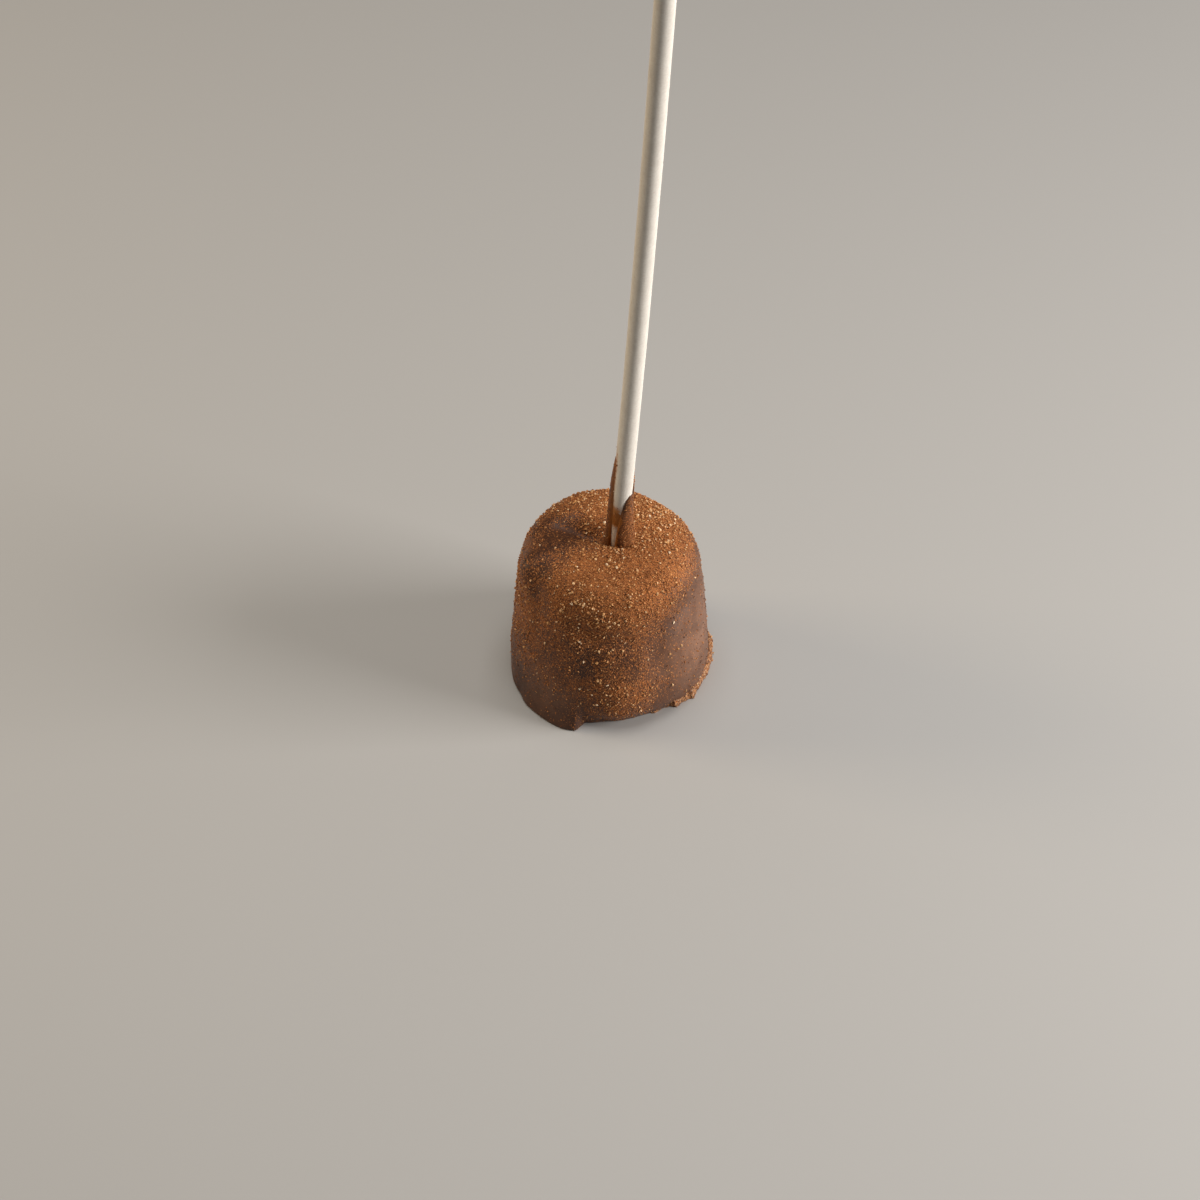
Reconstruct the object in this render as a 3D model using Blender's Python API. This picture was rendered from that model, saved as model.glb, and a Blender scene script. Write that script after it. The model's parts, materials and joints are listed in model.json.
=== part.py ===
"""Chocolate-coated marshmallow standing on its flat underside, with a paper stick pushed into its top.

Run with:  blender --background --python part.py

The marshmallow was dipped stick upwards, so the set coat is one skin of chocolate: it is drawn up
the stick in two wings, sags in folds round the marshmallow and has run out into a foot on the
tray, with a broken crust along its right edge. The marshmallow is wholly sealed in, so coat and
filling are one solid. The stick is a second piece.

The origin is the middle of the underside, on the floor. +Z is up, and -Y is the front, which
faces the viewer. Sizes are in millimetres and angles in degrees, anticlockwise from +X as seen
from above; MM turns millimetres into Blender's metres.
"""
import math
import random

import bmesh
import bpy
import numpy as np
from mathutils import Matrix, Vector

MM = 0.001

# ---- Driving dimensions ----
BODY_HEIGHT = 32.6
WALL_RADIUS = 17.35          # of the wall at half height
WALL_TAPER = 0.075           # share by which the wall is wider at the floor, and narrower at the top
SHOULDER_POWER = 4.6         # of the superellipse that rounds the shoulder: higher is squarer
FLOOR_EDGE = 0.9             # radius of the rounding where the wall meets the floor
FLOOR_SPARE = 0.35           # how far the coat is made below the floor, before it is cut flat

STICK_DIAMETER = 3.5
STICK_LENGTH = 200.0
STICK_DEPTH = 24.0           # length of stick inside the marshmallow
STICK_ENTRY = Vector((1.4, -1.55, 32.3))
STICK_LEAN = Vector((0.055, -0.21, 1.0))    # leans to the right and towards the viewer
STICK_BOW = -1.6             # how far the free end is bent off the straight line, along X
FIT_GAP = 0.3                # between the stick and the chocolate round it

COAT_SEGMENTS = 88
COAT_RINGS = 33
COLLAR_SEGMENTS = 64
COLLAR_LEVELS = 7
CRUST_SEGMENTS = 120
BORE_SEGMENTS = 32
STICK_STEPS = 10             # lengths into which the bent part of the stick is divided
OUTLINE_DETAIL = 400         # points of the finely divided outline that the others are read from
SEED = 11

# ---- Form of the coat: soft ridges and hollows ----
# Points on the wall are (angle, height, share of the depth); points on the crown are
# (angle, distance from the middle, share of the depth). Hollows are negative.
WALL_FOLDS = {
    "corner at the front left of the shoulder":
        (4.0, 2.1, [(-156, 29.0, 1.0)]),
    "front rim of the shoulder":
        (4.0, 0.75, [(-120, 29.5, 0.4), (-100, 29.5, 0.7), (-70, 29.5, 1.0), (-45, 29.5, 1.6),
                     (-22, 28.0, 0.3)]),
    "waist under the front shoulder":
        (2.8, -1.0, [(-6, 25.5, 0.1), (-20, 24.5, 0.6), (-36, 23.5, 0.9), (-55, 22.0, 0.9),
                     (-76, 20.5, 1.0), (-98, 21.5, 1.0), (-113, 24.5, 0.5), (-124, 27.0, 0.1)]),
    "belly at the front":
        (7.0, 0.9, [(-84, 10.0, 1.0)]),
    "crease left of the belly":
        (1.9, -0.4, [(-103, 17.0, 0.6), (-106, 12.0, 1.0), (-107, 8.0, 0.3)]),
    "crease right of the belly":
        (2.4, -0.4, [(-62, 18.0, 0.8), (-59, 12.0, 1.0), (-57, 6.0, 0.3)]),
    "swelling at the lower left":
        (6.0, 0.5, [(-130, 11.0, 1.0)]),
    "upright fold at the left":
        (2.0, -0.85, [(-158, 31.5, 0.2), (-149, 30.0, 0.8), (-144, 27.0, 1.0), (-141, 22.0, 0.6),
                      (-140, 15.0, 0.1)]),
    "slack fold at the back":
        (2.6, -0.7, [(60, 22.0, 0.1), (85, 19.0, 0.8), (112, 20.5, 1.0), (140, 23.5, 0.2)]),
    "swelling at the lower back":
        (7.0, 0.6, [(100, 9.0, 1.0)]),
}
CROWN_FOLDS = {
    "trench left of the stick":
        (2.1, -3.0, [(174, 12.0, 0.0), (168, 9.0, 0.45), (164, 6.0, 0.9), (170, 3.2, 1.0),
                     (220, 1.2, 0.8)]),
    "lip in front of the stick":
        (2.2, 0.4, [(-165, 9.0, 0.2), (-142, 6.0, 0.8), (-112, 5.4, 1.0), (-79, 6.2, 0.8),
                    (-50, 7.0, 0.2)]),
    "lobe behind the trench":
        (4.5, 0.6, [(108, 7.0, 1.0), (140, 8.0, 0.8)]),
    "fall at the back right":
        (6.0, -0.4, [(50, 13.0, 1.0)]),
}

# The foot: distance from the middle to the coat's edge on the floor, by angle.
FOOT_OUTLINE = [(180, 18.3), (-154, 18.8), (-140, 19.5), (-116, 20.0), (-110, 19.7), (-105, 17.0),
                (-92, 16.1), (-68, 15.7), (-50, 16.1), (-33, 17.4), (0, 18.1), (30, 18.5), (75, 18.3),
                (110, 18.8), (150, 18.4)]
FOOT_RISE = 3.2              # height over which the foot dies into the wall
FOOT_FADE = 1.5              # power of that fade

# The collar of chocolate drawn up the stick. Angles go round the stick from its front, positive
# to the right; heights are along the stick from where it enters the crown.
COLLAR_TOP = [(-90, 25.2), (-65, 21.2), (-46, 11.7), (-38, 1.0), (-15, -1.5), (-5, 4.0), (15, 9.5),
              (45, 13.0), (72, 15.5), (88, 19.0), (115, 20.0), (150, 17.7), (180, 16.7), (-140, 19.7)]
COLLAR_FILM = 0.5            # thickness at its upper edge
COLLAR_BASE = [(-90, 0.6), (-38, 0.5), (0, 0.9), (60, 1.3), (100, 1.3), (180, 1.1)]
COLLAR_TAPER = 1.6           # power by which it thins from its base to its film
COLLAR_FLARE = (0.8, 1.2)    # share added to its base at the crown, and the height over which that fades
COLLAR_FLARE_FROM = -1.0     # height where that starts to fade
COLLAR_ROOT = 5.0            # how far it goes on below the entry, inside the coat
COLLAR_REACH = 40.0          # length along the stick that clears the tallest wing

# The broken crust along the right of the foot: distance from the middle to its edge, by angle.
CRUST_OUTLINE = [(-70, 14.8), (-64, 15.2), (-60, 16.0), (-53, 15.9), (-48, 16.3), (-45, 17.4), (-41, 17.3),
                 (-36, 17.6), (-33, 18.4), (-28, 18.0), (-20, 18.0), (-9, 18.5), (6, 19.1), (14, 19.6),
                 (20, 19.5), (26, 17.8), (60, 17.0), (180, 17.0), (-80, 14.6)]
CRUST_HEIGHT = 2.2           # of its upper edge, where it meets the wall
CRUST_SHELF = 1.3            # width of the shelf between that and the broken edge
CRUST_ROOT = 4.0             # how far it goes on inside the coat
CRUST_EDGE = (0.5, 1.1)      # least and greatest height of the broken edge
CRUST_RAGGED = 0.18          # how far the edge strays from its outline
SHELF_SIDE = 0.5             # place of the shelf's inner corner in the crust's section, before it is shaped
CRUMBS = [(-61, 0.6), (-55, 0.5), (-46, 0.7), (-43, 0.9), (-39, 0.6), (-32, 0.9), (-26, 0.6),
          (-12, 0.5), (2, 0.6), (13, 0.6)]   # chips on the edge: (angle, size)
CRUMB_KNOCKS = (0.7, 1.15)   # least and greatest share of its place that a chip's corner is moved to
CRUMB_SEAT = (0.5, 0.45)     # how far in from the edge, and how high, a chip sits, as shares of its size

CUTTER_DEPTH = 10.0
SHARP_ANGLE = 40             # between faces of the stick: its sides are shaded smooth, its ends stay sharp


def by_angle(angles, table):
    """A quantity given at a few angles in degrees, eased smoothly from one to the next."""
    knots = sorted((a % 360, v) for a, v in table)
    knots = [(knots[-1][0] - 360, knots[-1][1])] + knots + [(knots[0][0] + 360, knots[0][1])]
    at = np.array([a for a, _ in knots])
    value = np.array([v for _, v in knots])
    turned = np.asarray(angles) % 360
    i = np.clip(np.searchsorted(at, turned, side="right") - 1, 0, len(at) - 2)
    x = (turned - at[i]) / (at[i + 1] - at[i])
    ease = x * x * (3 - 2 * x)
    return value[i] * (1 - ease) + value[i + 1] * ease


def blank_profile(steps):
    """Radius and height of the turned blank from the crown down to the floor, in equal steps."""
    middle = BODY_HEIGHT / 2
    edge_centre = FLOOR_EDGE - FLOOR_SPARE
    turn = np.linspace(math.pi / 2, 0, 4 * OUTLINE_DETAIL)
    wall = np.linspace(middle, edge_centre, OUTLINE_DETAIL)[1:]
    edge = np.linspace(0, math.pi / 2, OUTLINE_DETAIL // 8)[1:]
    height = np.concatenate([middle * (1 + np.sin(turn) ** (2 / SHOULDER_POWER)), wall])
    squareness = np.concatenate([np.cos(turn) ** (2 / SHOULDER_POWER), np.ones(len(wall))])
    radius = WALL_RADIUS * (1 - WALL_TAPER * (height / middle - 1)) * squareness
    radius = np.concatenate([radius, radius[-1] - FLOOR_EDGE * (1 - np.cos(edge))])
    height = np.concatenate([height, edge_centre - FLOOR_EDGE * np.sin(edge)])
    along = np.concatenate([[0], np.cumsum(np.hypot(np.diff(radius), np.diff(height)))])
    at = np.linspace(0, along[-1], steps + 1)
    return np.interp(at, along, radius), np.interp(at, along, height)


def fold_path(points, on_wall):
    """Points of the blank's surface, each with its share of the fold's depth, as rows x, y, z, share."""
    radius, height = blank_profile(OUTLINE_DETAIL)
    widest = int(radius.argmax())
    rows = []
    for angle, place, share in points:
        if on_wall:
            r, z = np.interp(place, height[::-1], radius[::-1]), place
        else:
            r, z = place, np.interp(place, radius[:widest], height[:widest])
        rows.append((r * math.cos(math.radians(angle)), r * math.sin(math.radians(angle)), z, share))
    return np.array(rows)


def fold_depth(points, path, width, depth):
    """How far a soft ridge along the path lifts each point; it falls off as a bell over its width."""
    nearest = np.full(len(points), np.inf)
    share = np.zeros(len(points))
    for start, end in zip(path, path[1:] if len(path) > 1 else path):
        run = end[:3] - start[:3]
        t = np.clip((points - start[:3]) @ run / max(run @ run, 1e-9), 0, 1)
        gap = np.linalg.norm(points - (start[:3] + t[:, None] * run), axis=1)
        here = gap < nearest
        nearest = np.where(here, gap, nearest)
        share = np.where(here, start[3] + t * (end[3] - start[3]), share)
    return depth * share * np.exp(-(nearest / width) ** 2)


def new_object(name, bm, collection, material=None):
    """An object from a bmesh in millimetres, linked to the collection."""
    bmesh.ops.scale(bm, vec=(MM, MM, MM), verts=bm.verts)
    mesh = bpy.data.meshes.new(name)
    bm.to_mesh(mesh)
    bm.free()
    if material:
        mesh.materials.append(material)
    obj = bpy.data.objects.new(name, mesh)
    collection.objects.link(obj)
    return obj


def new_material(name, colour, roughness, metallic):
    material = bpy.data.materials.new(name)
    material.use_nodes = True
    shader = material.node_tree.nodes["Principled BSDF"]
    shader.inputs["Base Color"].default_value = (*colour, 1.0)
    shader.inputs["Roughness"].default_value = roughness
    shader.inputs["Metallic"].default_value = metallic
    return material


def new_collection(name):
    collection = bpy.data.collections.new(name)
    bpy.context.scene.collection.children.link(collection)
    return collection


def vertex_array(bm):
    return np.array([v.co for v in bm.verts])


def spin_round(bm, segments):
    """Turns the outline in the bmesh full circle about Z."""
    bmesh.ops.spin(bm, geom=bm.verts[:] + bm.edges[:], cent=(0, 0, 0), axis=(0, 0, 1), dvec=(0, 0, 0),
                   angle=2 * math.pi, steps=segments, use_merge=True, use_duplicate=False)
    bmesh.ops.remove_doubles(bm, verts=bm.verts, dist=1e-4)
    bmesh.ops.recalc_face_normals(bm, faces=bm.faces)


def coat_solid():
    """The coat with the marshmallow inside it: a turned blank, folded and then spread at its foot."""
    radius, height = blank_profile(COAT_RINGS)
    bm = bmesh.new()
    outline = [bm.verts.new((r, 0, z)) for r, z in zip(radius, height)]
    for upper, lower in zip(outline, outline[1:]):
        bm.edges.new((upper, lower))
    spin_round(bm, COAT_SEGMENTS)
    floor_loop = [e for e in bm.edges if e.is_boundary]
    bmesh.ops.holes_fill(bm, edges=floor_loop, sides=0)
    bmesh.ops.recalc_face_normals(bm, faces=bm.faces)
    bm.normal_update()

    points = vertex_array(bm)
    normals = np.array([v.normal for v in bm.verts])
    lift = np.zeros(len(points))
    for folds, on_wall in ((WALL_FOLDS, True), (CROWN_FOLDS, False)):
        for width, depth, path in folds.values():
            lift += fold_depth(points, fold_path(path, on_wall), width, depth)
    on_floor = points[:, 2] < FLOOR_EDGE - FLOOR_SPARE
    normals[on_floor] = 0
    folded = points + normals * lift[:, None]

    away = np.hypot(points[:, 0], points[:, 1])
    angle = np.degrees(np.arctan2(points[:, 1], points[:, 0]))
    wall_foot = WALL_RADIUS * (1 + WALL_TAPER)
    spread = by_angle(angle, FOOT_OUTLINE) - wall_foot
    near_floor = np.exp(-(np.clip(points[:, 2], 0, None) / FOOT_RISE) ** FOOT_FADE)
    folded[:, :2] *= (1 + spread * near_floor / wall_foot)[:, None]
    for vert, place in zip(bm.verts, folded):
        vert.co = place
    return bm


def ring_blank(section, segments):
    """A ring of unit size about Z: each point of its closed section is (side, level), and after the
    spin a vertex keeps them as its distance from the axis, less one, and its height."""
    bm = bmesh.new()
    loop = [bm.verts.new((1 + side, 0, level)) for side, level in section]
    for here, after in zip(loop, loop[1:] + loop[:1]):
        bm.edges.new((here, after))
    spin_round(bm, segments)
    return bm


def collar_solid():
    """Chocolate drawn up the stick: a sleeve with a notch at its front and a wing on each side."""
    outer = [(1.0, i / COLLAR_LEVELS) for i in range(COLLAR_LEVELS + 1)]
    inner = [(0.0, 1.0), (0.0, 0.0)]
    bm = ring_blank(outer + inner, COLLAR_SEGMENTS)
    unit = vertex_array(bm)
    side = np.hypot(unit[:, 0], unit[:, 1]) - 1
    level = unit[:, 2]
    angle = np.degrees(np.arctan2(unit[:, 1], unit[:, 0]))
    top = by_angle(angle, COLLAR_TOP)
    along = -COLLAR_ROOT + level * (top + COLLAR_ROOT)
    base = by_angle(angle, COLLAR_BASE)
    climb = np.clip(along / np.maximum(top, COLLAR_ROOT), 0, 1)
    thickness = COLLAR_FILM + (base - COLLAR_FILM) * (1 - climb) ** COLLAR_TAPER
    flare, fade = COLLAR_FLARE
    thickness += flare * base * np.exp(-np.clip(along - COLLAR_FLARE_FROM, 0, None) / fade)
    radius = np.where(side > 0.5, STICK_DIAMETER / 2 + thickness, STICK_DIAMETER / 4)
    turn = np.radians(angle)
    for vert, r, a, s in zip(bm.verts, radius, turn, along):
        vert.co = (r * math.sin(a), -r * math.cos(a), s)
    bmesh.ops.recalc_face_normals(bm, faces=bm.faces)
    bmesh.ops.transform(bm, matrix=stick_frame(), verts=bm.verts)
    return bm


def crust_solid():
    """The thin shelf of chocolate that ran out on the tray and broke off along its edge."""
    chance = random.Random(SEED)
    bm = ring_blank([(0.0, 0.0), (1.0, 0.0), (1.0, 0.5), (SHELF_SIDE, 1.0), (0.0, 1.0)], CRUST_SEGMENTS)
    spokes = {}
    for vert in bm.verts:
        spokes.setdefault(round(math.degrees(math.atan2(vert.co.y, vert.co.x)), 2), []).append(vert)
    for angle in sorted(spokes):
        rim = float(by_angle(angle, CRUST_OUTLINE)) + chance.uniform(-CRUST_RAGGED, CRUST_RAGGED)
        inner = float(by_angle(angle, FOOT_OUTLINE)) - CRUST_ROOT
        height = {0.0: -2 * FLOOR_SPARE, 0.5: chance.uniform(*CRUST_EDGE), 1.0: CRUST_HEIGHT}
        turn = math.radians(angle)
        for vert in spokes[angle]:
            side = math.hypot(vert.co.x, vert.co.y) - 1
            on_shelf = abs(side - SHELF_SIDE) < SHELF_SIDE / 2
            out = rim - CRUST_SHELF if on_shelf else inner + side * (rim - inner)
            vert.co = (out * math.cos(turn), out * math.sin(turn), height[round(vert.co.z, 1)])
    bmesh.ops.recalc_face_normals(bm, faces=bm.faces)
    return bm


def crumb_solid(angle, size, chance):
    """A chip of chocolate stuck to the crust's broken edge: a cube knocked out of shape."""
    bm = bmesh.new()
    bmesh.ops.create_cube(bm, size=size)
    for vert in bm.verts:
        vert.co *= chance.uniform(*CRUMB_KNOCKS)
    inset, lift = CRUMB_SEAT
    out = float(by_angle(angle, CRUST_OUTLINE)) - inset * size
    place = Matrix.Rotation(math.radians(angle), 4, "Z") @ Matrix.Translation((out, 0, lift * size))
    tumble = Matrix.Rotation(chance.uniform(0, math.pi), 4, Vector((1, chance.random(), chance.random())))
    bmesh.ops.transform(bm, matrix=place @ tumble, verts=bm.verts)
    return bm


def stick_frame():
    """Places a piece modelled along Z, front to -Y, on the stick's line with its entry at zero."""
    up = STICK_LEAN.normalized()
    right = Vector((0, -1, 0)).cross(up).normalized() * -1
    back = up.cross(right)
    turn = Matrix((right, back, up)).transposed().to_4x4()
    return Matrix.Translation(STICK_ENTRY) @ turn


def stick_curve(collection, material):
    """The rolled paper stick, straight where it is held and slightly bent above."""
    curve = bpy.data.curves.new("paper_stick", "CURVE")
    curve.dimensions = "3D"
    curve.bevel_depth = STICK_DIAMETER / 2 * MM
    curve.bevel_resolution = 8
    curve.use_fill_caps = True
    free = STICK_LENGTH - STICK_DEPTH
    stations = [-STICK_DEPTH] + [free * i / STICK_STEPS for i in range(STICK_STEPS + 1)]
    spline = curve.splines.new("POLY")
    spline.points.add(len(stations) - 1)
    frame = stick_frame()
    for point, s in zip(spline.points, stations):
        bend = STICK_BOW * (max(s, 0) / free) ** 2
        point.co = (*(frame @ Vector((bend, 0, s)) * MM), 1)
    curve.materials.append(material)
    stick = bpy.data.objects.new("paper_stick", curve)
    collection.objects.link(stick)
    return stick


def as_mesh(obj, collection):
    """Turns a curve object into a mesh object of the same name, with its caps welded."""
    graph = bpy.context.evaluated_depsgraph_get()
    mesh = bpy.data.meshes.new_from_object(obj.evaluated_get(graph))
    bm = bmesh.new()
    bm.from_mesh(mesh)
    bmesh.ops.remove_doubles(bm, verts=bm.verts, dist=1e-6)
    bm.to_mesh(mesh)
    bm.free()
    name = obj.name
    place = obj.matrix_world.copy()
    bpy.data.objects.remove(obj)
    solid = bpy.data.objects.new(name, mesh)
    solid.matrix_world = place
    collection.objects.link(solid)
    return solid


def add_boolean(obj, operation, operand, solver="EXACT"):
    modifier = obj.modifiers.new(operation.lower(), "BOOLEAN")
    modifier.operation = operation
    modifier.solver = solver
    if isinstance(operand, bpy.types.Collection):
        modifier.operand_type = "COLLECTION"
        modifier.collection = operand
    else:
        modifier.object = operand
    return modifier


def bake_modifiers(obj):
    graph = bpy.context.evaluated_depsgraph_get()
    mesh = bpy.data.meshes.new_from_object(obj.evaluated_get(graph))
    obj.modifiers.clear()
    obj.data = mesh


def bore_cutter():
    """The hole that the stick stands in, from just under its end up past the collar."""
    bm = bmesh.new()
    length = STICK_DEPTH + FIT_GAP + COLLAR_REACH
    bmesh.ops.create_cone(bm, cap_ends=True, segments=BORE_SEGMENTS, radius1=STICK_DIAMETER / 2 + FIT_GAP,
                          radius2=STICK_DIAMETER / 2 + FIT_GAP, depth=length)
    bmesh.ops.translate(bm, vec=(0, 0, length / 2 - STICK_DEPTH - FIT_GAP), verts=bm.verts)
    bmesh.ops.transform(bm, matrix=stick_frame(), verts=bm.verts)
    return bm


def floor_cutter():
    """Everything below the floor, taken off so that the underside is one flat face."""
    bm = bmesh.new()
    bmesh.ops.create_cube(bm, size=1.0)
    bmesh.ops.scale(bm, vec=(4 * WALL_RADIUS, 4 * WALL_RADIUS, CUTTER_DEPTH), verts=bm.verts)
    bmesh.ops.translate(bm, vec=(0, 0, -CUTTER_DEPTH / 2), verts=bm.verts)
    return bm


def build():
    for obj in list(bpy.data.objects):
        bpy.data.objects.remove(obj)
    parts = new_collection("chocolate_coated_marshmallow")
    cutters = new_collection("cutters")
    fused = new_collection("fused")
    chocolate = new_material("chocolate", (0.115, 0.052, 0.026), 0.55, 0.0)
    paper = new_material("paper", (0.80, 0.76, 0.69), 0.75, 0.0)

    coat = new_object("coated_marshmallow", coat_solid(), parts, chocolate)
    new_object("collar", collar_solid(), fused)
    new_object("crust", crust_solid(), fused)
    chance = random.Random(SEED)
    for number, (angle, size) in enumerate(CRUMBS):
        new_object(f"crumb_{number}", crumb_solid(angle, size, chance), fused)
    add_boolean(coat, "UNION", fused)
    bake_modifiers(coat)
    for obj in list(fused.objects):
        bpy.data.objects.remove(obj)
    bpy.data.collections.remove(fused)

    for name, shape, solver in (("bore", bore_cutter(), "EXACT"), ("floor", floor_cutter(), "MANIFOLD")):
        cutter = new_object(name, shape, cutters)
        cutter.hide_render = True
        cutter.display_type = "WIRE"
        add_boolean(coat, "DIFFERENCE", cutter, solver)
    coat.data.shade_smooth()

    stick = as_mesh(stick_curve(parts, paper), parts)
    stick.data.shade_smooth()
    stick.data.set_sharp_from_angle(angle=math.radians(SHARP_ANGLE))


build()
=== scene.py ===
"""Looks of a chocolate-coated marshmallow on a paper stick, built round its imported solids.

Each section makes one piece or one kind of piece. Shapes are modelled in millimetres, in the frame
of the solids: origin in the middle of the underside, +Z up, -Y the front. Angles are in degrees,
anticlockwise from +X as seen from above. MM turns millimetres into Blender's metres.
"""
import json
import math
import random

import bmesh
import bpy
import numpy as np
from mathutils import Matrix, Vector, noise

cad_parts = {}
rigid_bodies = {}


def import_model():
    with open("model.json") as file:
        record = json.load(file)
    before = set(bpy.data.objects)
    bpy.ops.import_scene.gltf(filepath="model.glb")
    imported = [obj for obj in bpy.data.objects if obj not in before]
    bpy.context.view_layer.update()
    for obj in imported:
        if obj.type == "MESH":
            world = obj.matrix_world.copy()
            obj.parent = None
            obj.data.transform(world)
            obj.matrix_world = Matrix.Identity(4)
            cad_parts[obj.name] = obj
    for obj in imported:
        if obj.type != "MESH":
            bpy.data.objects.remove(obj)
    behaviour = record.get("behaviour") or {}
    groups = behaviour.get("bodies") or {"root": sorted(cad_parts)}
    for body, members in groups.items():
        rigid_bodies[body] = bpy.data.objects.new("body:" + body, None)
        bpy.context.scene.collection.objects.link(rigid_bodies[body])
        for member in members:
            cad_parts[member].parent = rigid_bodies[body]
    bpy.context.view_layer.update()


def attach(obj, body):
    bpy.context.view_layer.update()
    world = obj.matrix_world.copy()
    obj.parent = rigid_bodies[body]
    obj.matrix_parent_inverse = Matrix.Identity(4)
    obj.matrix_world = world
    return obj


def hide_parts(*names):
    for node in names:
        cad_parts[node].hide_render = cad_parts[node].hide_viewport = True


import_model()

MM = 0.001

# ---- The coated marshmallow ----
# A marshmallow dipped whole in dark chocolate, stick upwards, and set on a tray: the coat slumped
# into soft folds, sank to a trench behind a lip where the stick went in, and ran out into a foot.
# Coat and filling are one body; cocoa was sifted over it while it was still wet.
BODY_HEIGHT = 32.6
WALL_RADIUS = 17.35
WALL_TAPER = 0.075
SHOULDER_POWER = 4.6
FLOOR_EDGE = 0.9
FLOOR_SPARE = 0.35
OUTLINE_DETAIL = 400
COAT_SEGMENTS = 470
COAT_RINGS = 196

WALL_FOLDS = {
    "corner at the front left of the shoulder": (4.0, 2.1, [(-156, 29.0, 1.0)]),
    "front rim of the shoulder":
        (4.0, 0.75, [(-120, 29.5, 0.4), (-100, 29.5, 0.7), (-70, 29.5, 1.0), (-45, 29.5, 1.6),
                     (-22, 28.0, 0.3)]),
    "waist under the front shoulder":
        (2.8, -1.0, [(-6, 25.5, 0.1), (-20, 24.5, 0.6), (-36, 23.5, 0.9), (-55, 22.0, 0.9),
                     (-76, 20.5, 1.0), (-98, 21.5, 1.0), (-113, 24.5, 0.5), (-124, 27.0, 0.1)]),
    "belly at the front": (7.0, 0.9, [(-84, 10.0, 1.0)]),
    "crease left of the belly": (1.9, -0.4, [(-103, 17.0, 0.6), (-106, 12.0, 1.0), (-107, 8.0, 0.3)]),
    "crease right of the belly": (2.4, -0.4, [(-62, 18.0, 0.8), (-59, 12.0, 1.0), (-57, 6.0, 0.3)]),
    "swelling at the lower left": (6.0, 0.5, [(-130, 11.0, 1.0)]),
    "upright fold at the left":
        (2.0, -0.85, [(-158, 31.5, 0.2), (-149, 30.0, 0.8), (-144, 27.0, 1.0), (-141, 22.0, 0.6),
                      (-140, 15.0, 0.1)]),
    "slack fold at the back":
        (2.6, -0.7, [(60, 22.0, 0.1), (85, 19.0, 0.8), (112, 20.5, 1.0), (140, 23.5, 0.2)]),
    "swelling at the lower back": (7.0, 0.6, [(100, 9.0, 1.0)]),
}
CROWN_FOLDS = {
    "trench left of the stick":
        (2.1, -3.0, [(174, 12.0, 0.0), (168, 9.0, 0.45), (164, 6.0, 0.9), (170, 3.2, 1.0),
                     (220, 1.2, 0.8)]),
    "lip in front of the stick":
        (2.2, 0.4, [(-165, 9.0, 0.2), (-142, 6.0, 0.8), (-112, 5.4, 1.0), (-79, 6.2, 0.8),
                    (-50, 7.0, 0.2)]),
    "lobe behind the trench": (4.5, 0.6, [(108, 7.0, 1.0), (140, 8.0, 0.8)]),
    "fall at the back right": (6.0, -0.4, [(50, 13.0, 1.0)]),
}
FOOT_OUTLINE = [(180, 18.3), (-154, 18.8), (-140, 19.5), (-116, 20.0), (-110, 19.7), (-105, 17.0),
                (-92, 16.1), (-68, 15.7), (-50, 16.1), (-33, 17.4), (0, 18.1), (30, 18.5), (75, 18.3),
                (110, 18.8), (150, 18.4)]
FOOT_RISE = 3.2
FOOT_FADE = 1.5

# How thickly the cocoa lies: the share of the skin it covers, given round each of a row of rings.
# A ring is placed by its distance down the skin from the middle of the crown. The low shares in the
# trench left of the stick are partly real and partly painted shade: they leave the trench bare and dark.
COCOA_COVER_AND_TRENCH_SHADE = [
    (2.0, [(0, 0.95), (60, 0.95), (120, 0.75), (180, 0.30), (-140, 0.60), (-90, 0.90), (-45, 0.95)]),
    # the low shares near 168 and -165 degrees leave the trench bare: painted shade as well as thin cocoa
    (9.0, [(0, 0.90), (60, 0.95), (120, 0.80), (150, 0.40), (168, 0.14), (-165, 0.20), (-140, 0.60),
           (-110, 1.0), (-75, 1.0), (-45, 0.95)]),
    (13.0, [(7, 0.82), (35, 0.85), (90, 0.80), (128, 0.70), (155, 0.36), (-170, 0.22), (-150, 0.32),
            (-130, 0.70), (-110, 0.95), (-80, 1.0), (-60, 1.0), (-40, 0.85), (-20, 0.75)]),
    (17.0, [(0, 0.30), (60, 0.55), (110, 0.60), (160, 0.40), (-165, 0.36), (-146, 0.38), (-120, 0.72),
            (-99, 0.92), (-79, 0.95), (-60, 0.85), (-48, 0.65), (-33, 0.42), (-15, 0.35)]),
    (21.0, [(0, 0.12), (60, 0.45), (110, 0.40), (160, 0.50), (-162, 0.60), (-145, 0.50), (-130, 0.55),
            (-112, 0.72), (-99, 0.75), (-80, 0.72), (-60, 0.52), (-47, 0.32), (-32, 0.16), (-16, 0.10)]),
    (26.0, [(0, 0.07), (60, 0.35), (110, 0.25), (160, 0.42), (-160, 0.55), (-129, 0.46), (-108, 0.48),
            (-89, 0.40), (-70, 0.34), (-60, 0.26), (-50, 0.16), (-37, 0.10), (-18, 0.07)]),
    (31.0, [(0, 0.05), (60, 0.30), (110, 0.18), (160, 0.35), (-156, 0.45), (-127, 0.34), (-107, 0.36),
            (-89, 0.44), (-71, 0.34), (-61, 0.20), (-51, 0.12), (-38, 0.08), (-20, 0.05)]),
    (36.0, [(0, 0.05), (60, 0.20), (110, 0.12), (160, 0.22), (-152, 0.30), (-126, 0.28), (-107, 0.42),
            (-98, 0.62), (-86, 0.70), (-74, 0.60), (-62, 0.33), (-52, 0.14), (-40, 0.08)]),
    (41.0, [(0, 0.05), (90, 0.10), (180, 0.08), (-134, 0.06), (-120, 0.10), (-107, 0.20), (-98, 0.40),
            (-86, 0.50), (-72, 0.36), (-62, 0.18), (-51, 0.08)]),
    (46.4, [(0, 0.05), (180, 0.04), (-124, 0.02), (-104, 0.08), (-86, 0.22), (-68, 0.12), (-50, 0.05)]),
]
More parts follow.
